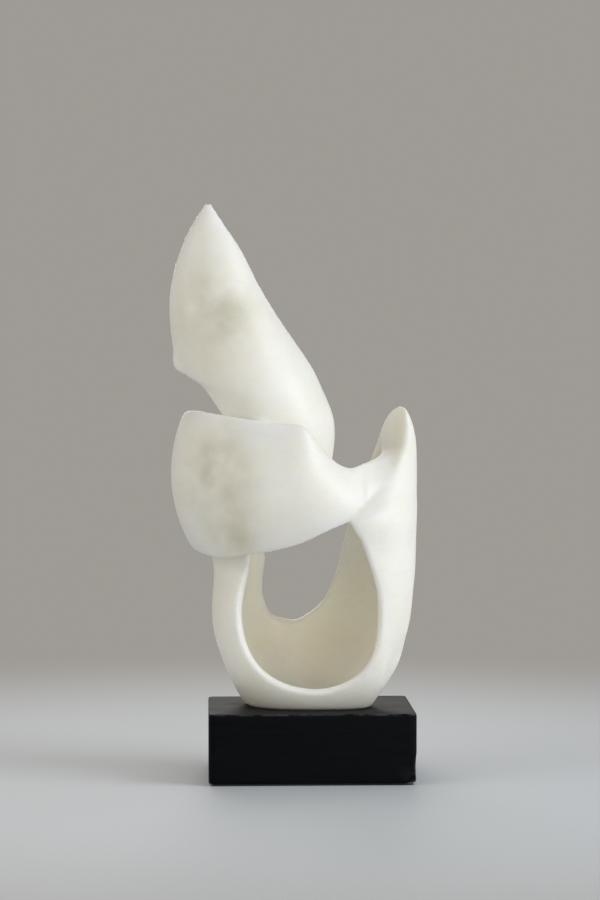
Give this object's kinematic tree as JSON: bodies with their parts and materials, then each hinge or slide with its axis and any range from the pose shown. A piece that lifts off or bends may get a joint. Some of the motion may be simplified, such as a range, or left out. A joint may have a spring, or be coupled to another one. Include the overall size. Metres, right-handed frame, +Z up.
{
  "type": "display plinth with mounted stone form",
  "caption": "Low rectangular black plinth block carrying a pierced, ribbon-like pale stone form pinned from below.",
  "frame": {"origin": "middle of the plinth's underside, on the surface that it rests on", "axes": "+Z up, front towards -Y, +X to the right when seen from the front"},
  "size_m": [0.2082, 0.1336, 0.4769],
  "materials": {
    "pale_stone": "honed, slightly translucent",
    "ebonised_wood": "satin black lacquer",
    "felt": "matt",
    "mortar": "matt",
    "zinc_steel": "zinc plated",
    "resin": "cured"
  },
  "bodies": {
    "root": {"plinth_block": "ebonised_wood", "base_felt": "felt", "stone_form": "pale_stone", "foot_bed": "mortar", "stud_left": "zinc_steel", "stud_right": "zinc_steel", "stud_resin_left": "resin", "stud_resin_right": "resin", "penny_washer_left": "zinc_steel", "penny_washer_right": "zinc_steel", "spring_washer_left": "zinc_steel", "spring_washer_right": "zinc_steel", "hex_nut_left": "zinc_steel", "hex_nut_right": "zinc_steel"}
  },
  "joints": []
}
